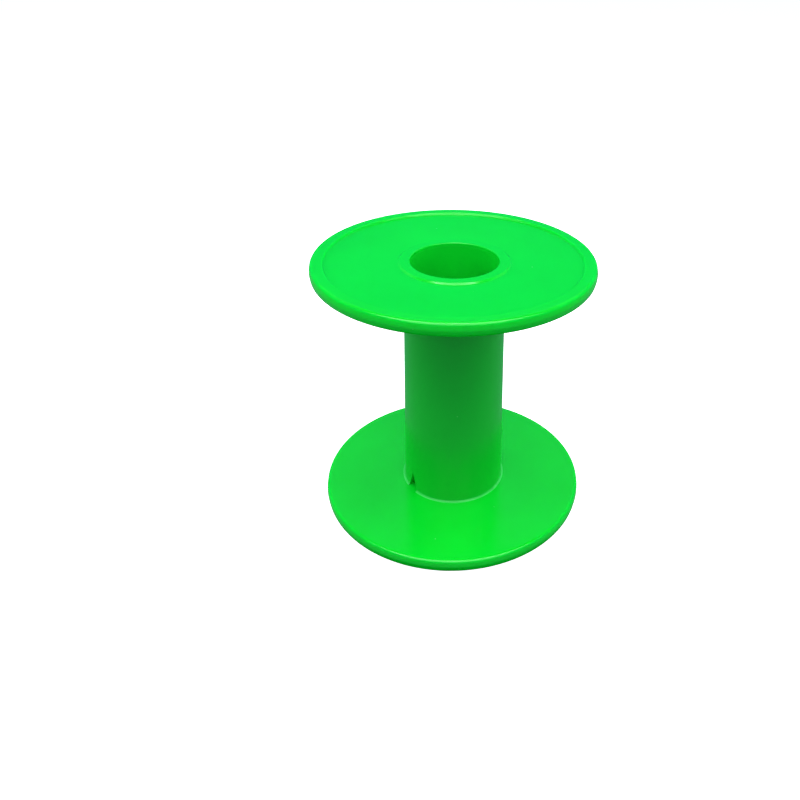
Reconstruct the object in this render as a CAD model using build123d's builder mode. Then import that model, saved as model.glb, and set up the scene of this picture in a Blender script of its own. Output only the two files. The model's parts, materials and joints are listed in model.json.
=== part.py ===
"""Empty reel for 1 kg of solder wire: two identical flanges pressed onto a hollow core tube.

Units are millimetres.  The spool stands on its lower flange: the origin is the centre of that
flange's rim land, and +Z runs up the spindle bore.
"""
from build123d import *
from math import cos, radians, sin, tan
import os

# Driving dimensions
flange_diameter = 70.0
spool_height = 68.8
bore_diameter = 22.0
tube_foot_diameter = 26.8  # just above the lower flange
tube_head_diameter = 25.2  # just below the upper flange: the tube has a slight moulding draft
rim_thickness = 3.4
label_field_diameter = 63.6
label_field_depth = 0.55  # at its outer edge
label_field_dish = 0.65  # how much deeper it is beside the hub boss
hub_boss_diameter = 27.0  # across its flat face
hub_boss_rise = 0.4  # above the field around it
notch_width = 3.6
notch_height = 5.2
notch_direction = 215.5  # degrees anticlockwise from +X, seen from above

# The press fit of the tube's ends in the flanges
spigot_diameter = 24.0
end_stop_lip = 0.7  # the plastic between the end of the spigot and the hub boss's face

# Edges and small shapes
rim_edge_round = 0.8
rim_draft = 10.0  # degrees, each way from the parting line halfway along the rim
rim_parting_round = 2.0  # how softly the two drafted halves of the rim meet
field_step_run = 0.35  # how far the label field's step slopes inwards
field_step_round = 0.2
hub_step_run = 0.5  # how far the hub boss's side slopes outwards
hub_step_round = 0.2
bore_edge_round = 0.25
shoulder_fillet = 0.6  # concave, where the tube meets each flange
shoulder_edge = 0.04  # height of the shoulder's own outer edge

# Worked out from the above
bore_radius = bore_diameter / 2
spigot_radius = spigot_diameter / 2
flange_radius = flange_diameter / 2
hub_boss_radius = hub_boss_diameter / 2
label_field_radius = label_field_diameter / 2
rim_ridge_radius = flange_radius + rim_parting_round * (1 / cos(radians(rim_draft)) - 1)  # before rounding
rim_corner_radius = rim_ridge_radius - rim_thickness / 2 * tan(radians(rim_draft))
hub_foot_depth = label_field_depth + label_field_dish
hub_boss_depth = hub_foot_depth - hub_boss_rise
socket_floor = hub_boss_depth + end_stop_lip
tube_foot_radius = tube_foot_diameter / 2
tube_head_radius = tube_head_diameter / 2
foot_level = rim_thickness
head_level = spool_height - rim_thickness
shoulder_rise = shoulder_edge + shoulder_fillet

# Half sections are drawn with X as the radius, and Y as the height above the section's own rim land.
lower_section = Plane.XZ
upper_section = Plane(origin=(0, 0, spool_height), x_dir=(1, 0, 0), z_dir=(0, 1, 0))

os.makedirs("parts", exist_ok=True)


def corner(sketch, radius, height):
    """The corner of a half section nearest to a point."""
    return sketch.vertices().sort_by_distance((radius, height))[0]


# Flanges: a flat disc, with a raised rim land and hub boss outside and a socket for the tube inside
for flange_name, section_plane in (("lower_flange", lower_section), ("upper_flange", upper_section)):
    with BuildPart() as flange:
        with BuildSketch(section_plane) as flange_section:
            with BuildLine():
                Polyline(
                    (bore_radius, hub_boss_depth),
                    (hub_boss_radius, hub_boss_depth),
                    (hub_boss_radius + hub_step_run, hub_foot_depth),
                    (label_field_radius - field_step_run, label_field_depth),
                    (label_field_radius, 0),
                    (rim_corner_radius, 0),
                    (rim_ridge_radius, rim_thickness / 2),
                    (rim_corner_radius, rim_thickness),
                    (spigot_radius, rim_thickness),
                    (spigot_radius, socket_floor),
                    (bore_radius, socket_floor),
                    close=True,
                )
            make_face()
            for radius, height, rounding in (
                (rim_corner_radius, 0, rim_edge_round),
                (rim_ridge_radius, rim_thickness / 2, rim_parting_round),
                (rim_corner_radius, rim_thickness, rim_edge_round),
                (label_field_radius, 0, field_step_round),
                (label_field_radius - field_step_run, label_field_depth, field_step_round),
                (hub_boss_radius, hub_boss_depth, hub_step_round),
                (hub_boss_radius + hub_step_run, hub_foot_depth, hub_step_round),
                (bore_radius, hub_boss_depth, bore_edge_round),
            ):
                fillet(corner(flange_section, radius, height), rounding)
        revolve(axis=Axis.Z)
    flange.part.label = flange_name
    export_step(flange.part, f"parts/{flange_name}.step")

# Core tube: a hollow tube with a filleted shoulder and a spigot at each end
with BuildPart() as core_tube:
    with BuildSketch(lower_section):
        with BuildLine():
            Polyline(
                (tube_foot_radius + shoulder_fillet, foot_level + shoulder_edge),
                (tube_foot_radius + shoulder_fillet, foot_level),
                (spigot_radius, foot_level),
                (spigot_radius, socket_floor),
                (bore_radius, socket_floor),
                (bore_radius, spool_height - socket_floor),
                (spigot_radius, spool_height - socket_floor),
                (spigot_radius, head_level),
                (tube_head_radius + shoulder_fillet, head_level),
                (tube_head_radius + shoulder_fillet, head_level - shoulder_edge),
            )
            RadiusArc(
                (tube_head_radius + shoulder_fillet, head_level - shoulder_edge),
                (tube_head_radius, head_level - shoulder_rise),
                -shoulder_fillet,
            )
            Line(
                (tube_head_radius, head_level - shoulder_rise),
                (tube_foot_radius, foot_level + shoulder_rise),
            )
            RadiusArc(
                (tube_foot_radius, foot_level + shoulder_rise),
                (tube_foot_radius + shoulder_fillet, foot_level + shoulder_edge),
                -shoulder_fillet,
            )
        make_face()
    revolve(axis=Axis.Z)

    # Start notch: the end of the wire is hooked in here before winding
    outward = (cos(radians(notch_direction)), sin(radians(notch_direction)), 0)
    sideways = (-outward[1], outward[0], 0)
    with BuildSketch(Plane(origin=(0, 0, foot_level), x_dir=sideways, z_dir=outward)):
        with BuildLine():
            Polyline(
                (-notch_width / 2, 0),
                (notch_width / 2, 0),
                (0, notch_height),
                close=True,
            )
        make_face()
    extrude(amount=flange_radius, mode=Mode.SUBTRACT)
core_tube.part.label = "core_tube"
export_step(core_tube.part, "parts/core_tube.step")
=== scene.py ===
"""The empty solder wire spool: glossy green moulded plastic on a white floor.

Lengths are metres in the CAD frame: the spool stands on z = 0 and its axis is the Z axis.
"""
import json
from math import cos, pi, radians, sin, tan

import bmesh
import bpy
from mathutils import Matrix, Vector


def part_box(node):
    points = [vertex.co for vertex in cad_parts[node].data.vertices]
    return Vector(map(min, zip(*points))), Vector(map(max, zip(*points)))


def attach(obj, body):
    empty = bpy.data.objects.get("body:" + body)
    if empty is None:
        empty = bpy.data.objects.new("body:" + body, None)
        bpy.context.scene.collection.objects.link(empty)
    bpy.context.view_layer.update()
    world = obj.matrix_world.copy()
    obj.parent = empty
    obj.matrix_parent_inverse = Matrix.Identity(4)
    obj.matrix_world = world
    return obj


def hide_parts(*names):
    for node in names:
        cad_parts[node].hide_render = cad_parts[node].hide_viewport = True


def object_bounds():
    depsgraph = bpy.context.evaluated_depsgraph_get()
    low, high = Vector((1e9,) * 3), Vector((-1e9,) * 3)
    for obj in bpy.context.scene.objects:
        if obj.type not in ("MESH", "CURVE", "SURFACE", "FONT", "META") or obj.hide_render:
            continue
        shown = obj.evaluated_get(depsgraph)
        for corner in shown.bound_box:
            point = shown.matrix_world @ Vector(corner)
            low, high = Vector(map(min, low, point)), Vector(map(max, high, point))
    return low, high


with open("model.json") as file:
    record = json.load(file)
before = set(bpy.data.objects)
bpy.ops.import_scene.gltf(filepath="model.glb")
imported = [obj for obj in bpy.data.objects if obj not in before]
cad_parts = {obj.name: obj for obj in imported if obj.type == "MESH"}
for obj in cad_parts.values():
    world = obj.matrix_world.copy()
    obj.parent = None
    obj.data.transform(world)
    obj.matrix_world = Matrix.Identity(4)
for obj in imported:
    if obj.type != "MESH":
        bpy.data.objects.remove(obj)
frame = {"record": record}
cad_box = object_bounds()

MM = 0.001
SEGMENTS = 360
SHARP_ANGLE = radians(38)

# Sizes read from the frame
spool_height = cad_box[1].z
flange_radius = cad_box[1].x
rim_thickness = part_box("lower_flange")[1].z
spindle_bore = next(m for m in frame["record"]["mounts"] if m["name"] == "spindle_bore")
bore_radius = spindle_bore["dims"]["r_mm"] * MM
shoulder_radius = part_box("core_tube")[1].x
socket_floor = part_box("core_tube")[0].z

# Sizes that the frame doesn't state, repeated from the CAD design
tube_foot_radius = 13.4 * MM
tube_head_radius = 12.6 * MM
spigot_radius = 12.0 * MM
shoulder_edge = 0.04 * MM
label_field_radius = 31.8 * MM
label_field_depth = 0.55 * MM
label_field_dish = 0.65 * MM
field_step_run = 0.35 * MM
field_step_round = 0.2 * MM
hub_boss_radius = 13.5 * MM
hub_boss_rise = 0.4 * MM
hub_step_run = 0.5 * MM
hub_step_round = 0.2 * MM
bore_edge_round = 0.25 * MM
rim_edge_round = 0.8 * MM
rim_draft = radians(10)
rim_parting_round = 2.0 * MM
notch_width = 3.6 * MM
notch_height = 5.2 * MM
notch_direction = radians(215.5)

# Worked out from the above
hub_foot_depth = label_field_depth + label_field_dish
hub_boss_depth = hub_foot_depth - hub_boss_rise
middle = Vector((0, 0, spool_height / 2))

# Only in the visual model: the mouth of each flange's socket is very slightly rounded
socket_mouth_round = 0.1 * MM


# ---- Meshes ---------------------------------------------------------------------------------

def rounded_outline(corners, arc_steps=7, support=0.18):
    """Points of a closed half section (radius, height) with each corner (radius, height, rounding)
    turned into an arc, and a point just outside each end of the arc, which keeps flat faces flat."""
    points = []
    count = len(corners)
    for index, (x, y, rounding) in enumerate(corners):
        here = Vector((x, y))
        before = Vector(corners[index - 1][:2]) - here
        after = Vector(corners[(index + 1) % count][:2]) - here
        if rounding == 0:
            points.append(here)
            continue
        before_way = before.normalized()
        after_way = after.normalized()
        half_angle = before_way.angle(after_way) / 2
        setback = rounding / tan(half_angle)
        centre = here + (before_way + after_way).normalized() * rounding / sin(half_angle)
        start = here + before_way * setback
        end = here + after_way * setback
        points.append(start + before_way * min(rounding * support, (before.length - setback) / 3))
        sweep = (start - centre).angle_signed(end - centre)
        for step in range(arc_steps + 1):
            turn = Matrix.Rotation(-sweep * step / arc_steps, 2)
            points.append(centre + turn @ (start - centre))
        points.append(end + after_way * min(rounding * support, (after.length - setback) / 3))
    return points


def finish_mesh(name, mesh):
    """A smooth-shaded object made from a bmesh."""
    data = bpy.data.meshes.new(name)
    mesh.to_mesh(data)
    mesh.free()
    for polygon in data.polygons:
        polygon.use_smooth = True
    data.set_sharp_from_angle(angle=SHARP_ANGLE)
    piece = bpy.data.objects.new(name, data)
    bpy.context.scene.collection.objects.link(piece)
    return piece


def lathe(name, outline, height_of=lambda height: height):
    """A closed solid turned about the Z axis from an outline of (radius, height) points."""
    mesh = bmesh.new()
    rings = []
    for step in range(SEGMENTS):
        angle = 2 * pi * step / SEGMENTS
        rings.append([
            mesh.verts.new((p.x * cos(angle), p.x * sin(angle), height_of(p.y))) for p in outline
        ])
    for step, ring in enumerate(rings):
        following = rings[(step + 1) % SEGMENTS]
        for index in range(len(outline)):
            after = (index + 1) % len(outline)
            mesh.faces.new((ring[index], ring[after], following[after], following[index]))
    bmesh.ops.recalc_face_normals(mesh, faces=mesh.faces)
    return finish_mesh(name, mesh)


def flange_outline():
    """Half section of a flange, with heights measured inwards from its outer rim land."""
    rim_ridge = flange_radius + rim_parting_round * (1 / cos(rim_draft) - 1)
    rim_corner = rim_ridge - rim_thickness / 2 * tan(rim_draft)
    return rounded_outline([
        (bore_radius, hub_boss_depth, bore_edge_round),
        (hub_boss_radius, hub_boss_depth, hub_step_round),
        (hub_boss_radius + hub_step_run, hub_foot_depth, hub_step_round),
        (label_field_radius - field_step_run, label_field_depth, field_step_round),
        (label_field_radius, 0, field_step_round),
        (rim_corner, 0, rim_edge_round),
        (rim_ridge, rim_thickness / 2, rim_parting_round),
        (rim_corner, rim_thickness, rim_edge_round),
        (spigot_radius, rim_thickness, socket_mouth_round),
        (spigot_radius, socket_floor, 0),
        (bore_radius, socket_floor, 0),
    ])


def tube_outline(fillet_steps=9, rows=60):
    """Half section of the core tube, with rows of points along its walls."""
    head_level = spool_height - rim_thickness
    fillet = shoulder_radius - tube_foot_radius
    head_shoulder = tube_head_radius + fillet
    rise = shoulder_edge + fillet
    bore_length = spool_height - 2 * socket_floor
    points = [
        Vector((bore_radius, socket_floor)),
        Vector((spigot_radius, socket_floor)),
        Vector((spigot_radius, rim_thickness)),
        Vector((shoulder_radius, rim_thickness)),
    ]
    for step in range(fillet_steps + 1):
        angle = pi / 2 * step / fillet_steps
        radius = shoulder_radius - fillet * sin(angle)
        points.append(Vector((radius, rim_thickness + rise - fillet * cos(angle))))
    for row in range(1, rows):
        share = row / rows
        radius = tube_foot_radius + (tube_head_radius - tube_foot_radius) * share
        height = rim_thickness + rise + (head_level - rim_thickness - 2 * rise) * share
        points.append(Vector((radius, height)))
    for step in range(fillet_steps + 1):
        angle = pi / 2 * (1 - step / fillet_steps)
        radius = head_shoulder - fillet * sin(angle)
        points.append(Vector((radius, head_level - rise + fillet * cos(angle))))
    points += [
        Vector((head_shoulder, head_level)),
        Vector((spigot_radius, head_level)),
        Vector((spigot_radius, spool_height - socket_floor)),
        Vector((bore_radius, spool_height - socket_floor)),
    ]
    for row in range(1, rows):
        points.append(Vector((bore_radius, spool_height - socket_floor - bore_length * row / rows)))
    return points


def cut_notch(tube):
    """The three-cornered start notch, cut through the wall just above the lower flange."""
    outward = Vector((cos(notch_direction), sin(notch_direction), 0))
    sideways = Vector((-outward.y, outward.x, 0))
    inside_the_bore = bore_radius * 0.5
    outside_the_tube = shoulder_radius * 1.2
    mesh = bmesh.new()
    ends = []
    for reach in (inside_the_bore, outside_the_tube):
        base = Vector((0, 0, rim_thickness)) + outward * reach
        ends.append([
            mesh.verts.new(base - sideways * notch_width / 2),
            mesh.verts.new(base + sideways * notch_width / 2),
            mesh.verts.new(base + Vector((0, 0, notch_height))),
        ])
    inner, outer = ends
    mesh.faces.new(inner)
    mesh.faces.new(reversed(outer))
    for index in range(3):
        after = (index + 1) % 3
        mesh.faces.new((inner[index], outer[index], outer[after], inner[after]))
    bmesh.ops.recalc_face_normals(mesh, faces=mesh.faces)
    cutter = finish_mesh("notch_cutter", mesh)
    cut = tube.modifiers.new("notch", "BOOLEAN")
    cut.operation = "DIFFERENCE"
    cut.solver = "EXACT"
    cut.object = cutter
    depsgraph = bpy.context.evaluated_depsgraph_get()
    result = bpy.data.meshes.new_from_object(tube.evaluated_get(depsgraph))
    tube.modifiers.clear()
    tube.data = result
    bpy.data.objects.remove(cutter)
    result.set_sharp_from_angle(angle=SHARP_ANGLE)


# ---- Material -------------------------------------------------------------------------------

# The flanges are drawn in the plastic's own green. The tube is drawn in three greens that paint light
# and shade: the bore lighter than the outer wall, the outer wall darker than the flanges as painted
# shade, and the shoulder fillets paler as a painted highlight
flange_green = (0.001, 0.69, 0.024, 1)
# Painted light: the bore wall is drawn lighter than the tube's outer wall, a little below the flanges'
# green
bore_painted_lighter_green = (0.001, 0.66, 0.022, 1)
# Painted shade: the tube's outer wall is drawn darker than the flanges' green
tube_wall_painted_shade_green = (0.001, 0.49, 0.017, 1)
# Painted highlight: the shoulder fillets are drawn in a paler, whiter green
shoulder_painted_highlight_green = (0.06, 0.80, 0.12, 1)
dust_colour = (0.22, 0.78, 0.26, 1)
opaque_inside = 16 * MM
translucent_outside = 22 * MM
translucent_depth = 1.6 * MM
grain_height = 0.1 * MM


def green_plastic(name, glossiest, dullest, greens):
    """Moulded green plastic with fine grain and a few pale dust specks.

    greens is a list of (distance from the axis, colour), which on the tube paint light and shade.
    Light passes a little way into the plastic, but not near the axis.
    """
    material = bpy.data.materials.new(name)
    material.use_nodes = True
    nodes = material.node_tree.nodes
    links = material.node_tree.links
    shader = nodes["Principled BSDF"]
    shader.inputs["IOR"].default_value = 1.5
    shader.inputs["Specular IOR Level"].default_value = 0.7
    shader.inputs["Specular Tint"].default_value = (0.8, 1.0, 0.95, 1.0)
    shader.inputs["Subsurface Radius"].default_value = (0.15, 1.0, 0.35)
    shader.inputs["Subsurface Scale"].default_value = translucent_depth
    place = nodes.new("ShaderNodeTexCoord")

    def noise(scale, detail):
        texture = nodes.new("ShaderNodeTexNoise")
        texture.inputs["Scale"].default_value = scale
        texture.inputs["Detail"].default_value = detail
        links.new(place.outputs["Object"], texture.inputs["Vector"])
        return texture.outputs["Fac"]

    def ramp(value, stops):
        colours = nodes.new("ShaderNodeValToRGB")
        for extra in range(len(stops) - 2):
            colours.color_ramp.elements.new(0.5)
        for element, (position, colour) in zip(colours.color_ramp.elements, stops):
            element.position = position
            element.color = colour
        links.new(value, colours.inputs["Fac"])
        return colours.outputs["Color"]

    def spread(value, low, high):
        """Maps low..high to 0..1."""
        mapped = nodes.new("ShaderNodeMapRange")
        mapped.inputs["From Min"].default_value = low
        mapped.inputs["From Max"].default_value = high
        links.new(value, mapped.inputs["Value"])
        return mapped.outputs["Result"]

    flat = nodes.new("ShaderNodeVectorMath")
    flat.operation = "MULTIPLY"
    flat.inputs[1].default_value = (1, 1, 0)
    links.new(place.outputs["Object"], flat.inputs[0])
    from_axis = nodes.new("ShaderNodeVectorMath")
    from_axis.operation = "LENGTH"
    links.new(flat.outputs["Vector"], from_axis.inputs[0])
    distance = from_axis.outputs["Value"]
    links.new(spread(distance, opaque_inside, translucent_outside), shader.inputs["Subsurface Weight"])

    by_distance = [(radius / flange_radius, colour) for radius, colour in greens]
    pure = ramp(spread(distance, 0, flange_radius), by_distance)
    mottle = ramp(noise(60, 3), ((0.3, (0.8, 0.95, 0.9, 1)), (0.7, (1, 1, 1, 1))))
    green = nodes.new("ShaderNodeMix")
    green.data_type = "RGBA"
    green.blend_type = "MULTIPLY"
    green.inputs["Factor"].default_value = 1.0
    links.new(pure, green.inputs["A"])
    links.new(mottle, green.inputs["B"])

    cells = nodes.new("ShaderNodeTexVoronoi")
    cells.inputs["Scale"].default_value = 150
    links.new(place.outputs["Object"], cells.inputs["Vector"])
    speck = ramp(cells.outputs["Distance"], ((0.009, (1, 1, 1, 1)), (0.021, (0, 0, 0, 1))))
    dusty = nodes.new("ShaderNodeMix")
    dusty.data_type = "RGBA"
    links.new(speck, dusty.inputs["Factor"])
    links.new(green.outputs["Result"], dusty.inputs["A"])
    dusty.inputs["B"].default_value = dust_colour
    links.new(dusty.outputs["Result"], shader.inputs["Base Color"])

    grain = noise(900, 4)
    gloss = nodes.new("ShaderNodeMapRange")
    gloss.inputs["To Min"].default_value = glossiest
    gloss.inputs["To Max"].default_value = dullest
    links.new(grain, gloss.inputs["Value"])
    links.new(gloss.outputs["Result"], shader.inputs["Roughness"])
    bump = nodes.new("ShaderNodeBump")
    bump.inputs["Strength"].default_value = 0.04
    bump.inputs["Distance"].default_value = grain_height
    links.new(grain, bump.inputs["Height"])
    links.new(bump.outputs["Normal"], shader.inputs["Normal"])
    return material


# ---- Pieces ---------------------------------------------------------------------------------

def add_piece(piece, node, material):
    """Lets a detailed piece stand for its CAD node."""
    piece.data.materials.append(material)
    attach(piece, "root")
    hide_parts(node)


flange_plastic = green_plastic("flange_plastic", 0.14, 0.22, (
    (0, flange_green),
    (flange_radius, flange_green),
))
# The tube's greens paint light and shade: a lighter bore, a darker outer wall as painted shade and
# paler shoulder fillets as a painted highlight
tube_plastic = green_plastic("tube_plastic", 0.27, 0.35, (
    (bore_radius, bore_painted_lighter_green),
    (spigot_radius, tube_wall_painted_shade_green),
    (tube_foot_radius, tube_wall_painted_shade_green),
    (shoulder_radius, shoulder_painted_highlight_green),
))

lower_flange = lathe("lower_flange_moulding", flange_outline())
upper_flange = lathe("upper_flange_moulding", flange_outline(), lambda height: spool_height - height)
core_tube = lathe("core_tube_moulding", tube_outline())
cut_notch(core_tube)

add_piece(lower_flange, "lower_flange", flange_plastic)
add_piece(upper_flange, "upper_flange", flange_plastic)
add_piece(core_tube, "core_tube", tube_plastic)


# ---- Floor and room -------------------------------------------------------------------------

def white_floor(half_width=3.0, gap=0.1 * MM):
    """A square floor just below the spool, which glows almost white and isn't reflected in it."""
    mesh = bmesh.new()
    corners = ((-1, -1), (1, -1), (1, 1), (-1, 1))
    mesh.faces.new([mesh.verts.new((x * half_width, y * half_width, -gap)) for x, y in corners])
    floor = finish_mesh("floor", mesh)
    material = bpy.data.materials.new("white_floor")
    material.use_nodes = True
    shader = material.node_tree.nodes["Principled BSDF"]
    shader.inputs["Base Color"].default_value = (0.9, 0.9, 0.9, 1)
    shader.inputs["Roughness"].default_value = 0.8
    shader.inputs["Emission Color"].default_value = (1, 1, 1, 1)
    shader.inputs["Emission Strength"].default_value = 0.9
    floor.data.materials.append(material)
    floor.visible_diffuse = False
    floor.visible_glossy = False


# What the room sends from each height: 0 is straight down, 0.5 level and 1 straight up.
# The bands are tinted green-blue, which isn't neutral studio light.
room_bands = (
    (0.08, (0.0, 0.0, 0.0)),
    (0.20, (0.14, 0.24, 0.27)),
    (0.42, (0.14, 0.24, 0.27)),
    (0.52, (0.03, 0.28, 0.34)),
    (0.72, (0.03, 0.28, 0.34)),
    (0.78, (0.20, 0.42, 0.50)),
    (0.85, (0.20, 0.42, 0.50)),
    (0.90, (0.04, 0.04, 0.04)),
)


def room():
    """The room's light, in bands by height, and plain white where the camera sees it."""
    world = bpy.data.worlds.new("world")
    world.use_nodes = True
    nodes = world.node_tree.nodes
    links = world.node_tree.links
    light = nodes["Background"]
    light.inputs["Strength"].default_value = 1.0
    direction = nodes.new("ShaderNodeTexCoord")
    split = nodes.new("ShaderNodeSeparateXYZ")
    height = nodes.new("ShaderNodeMapRange")
    height.inputs["From Min"].default_value = -1
    levels = nodes.new("ShaderNodeValToRGB")
    stops = levels.color_ramp.elements
    for extra in range(len(room_bands) - len(stops)):
        stops.new(0.5)
    for stop, (position, colour) in zip(stops, room_bands):
        stop.position = position
        stop.color = (*colour, 1)
    links.new(direction.outputs["Generated"], split.inputs["Vector"])
    links.new(split.outputs["Z"], height.inputs["Value"])
    links.new(height.outputs["Result"], levels.inputs["Fac"])
    links.new(levels.outputs["Color"], light.inputs["Color"])
    seen = nodes.new("ShaderNodeBackground")
    seen.inputs["Color"].default_value = (1, 1, 1, 1)
    seen.inputs["Strength"].default_value = 1.0
    rays = nodes.new("ShaderNodeLightPath")
    both = nodes.new("ShaderNodeMixShader")
    links.new(rays.outputs["Is Camera Ray"], both.inputs["Fac"])
    links.new(light.outputs["Background"], both.inputs[1])
    links.new(seen.outputs["Background"], both.inputs[2])
    links.new(both.outputs["Shader"], nodes["World Output"].inputs["Surface"])
    bpy.context.scene.world = world


# ---- Lights ---------------------------------------------------------------------------------

def area_light(name, place, width, height, radiance):
    """A rectangular light that faces the spool's middle and that the camera doesn't see."""
    data = bpy.data.lights.new(name, "AREA")
    data.shape = "RECTANGLE"
    data.size = width
    data.size_y = height
    data.energy = radiance * pi * width * height
    light = bpy.data.objects.new(name, data)
    bpy.context.scene.collection.objects.link(light)
    light.location = place
    light.rotation_euler = (middle - place).to_track_quat("-Z", "Y").to_euler()
    light.visible_camera = False
    return light


def panel(name, azimuth, elevation, distance, width, height, radiance):
    """A soft panel; azimuth 0 is the camera's side, and it turns towards +X."""
    a = radians(azimuth)
    e = radians(elevation)
    place = middle + distance * Vector((sin(a) * cos(e), -cos(a) * cos(e), sin(e)))
    return area_light(name, place, width, height, radiance)


def overhead_slats(count=13, spacing=0.065, width=0.026, height=0.40, radiance=5.1):
    """A row of narrow lights above the spool."""
    elevation = radians(78)
    distance = 0.6
    for index in range(count):
        sideways = spacing * (index - count // 2)
        place = middle + Vector((sideways, -distance * cos(elevation), distance * sin(elevation)))
        area_light("slat", place, width, height, radiance)


white_floor()
room()
panel("front_soft", 0, 44, 0.6, 0.70, 0.40, 1.2)
panel("front_strip", 0, 61, 0.6, 0.80, 0.16, 1.9)
panel("front_low", 0, 24, 0.6, 0.60, 0.20, 0.8).visible_glossy = False
panel("left", -115, 18, 0.5, 0.7, 0.35, 2.8).visible_glossy = False
panel("right", 115, 18, 0.5, 0.7, 0.35, 2.8).visible_glossy = False
overhead_slats()


# ---- Camera ---------------------------------------------------------------------------------

def place_camera():
    """A camera in front of the spool and above it, aimed up and to the right of its middle."""
    distance = 0.2002
    elevation = radians(32.08)
    roll = radians(1.79)
    aim = middle + Vector((0.00899, 0, 0.02095))
    data = bpy.data.cameras.new("camera")
    data.sensor_width = 36
    data.lens = 33.81
    data.shift_x = -0.1125
    data.shift_y = -0.1175
    data.clip_start = 0.01
    data.clip_end = 20
    camera = bpy.data.objects.new("camera", data)
    bpy.context.scene.collection.objects.link(camera)
    camera.location = middle + distance * Vector((0, -cos(elevation), sin(elevation)))
    look = (aim - camera.location).to_track_quat("-Z", "Y")
    camera.rotation_mode = "QUATERNION"
    camera.rotation_quaternion = look @ Matrix.Rotation(roll, 3, "Z").to_quaternion()
    bpy.context.scene.camera = camera


place_camera()
bpy.context.scene.view_settings.view_transform = "Standard"
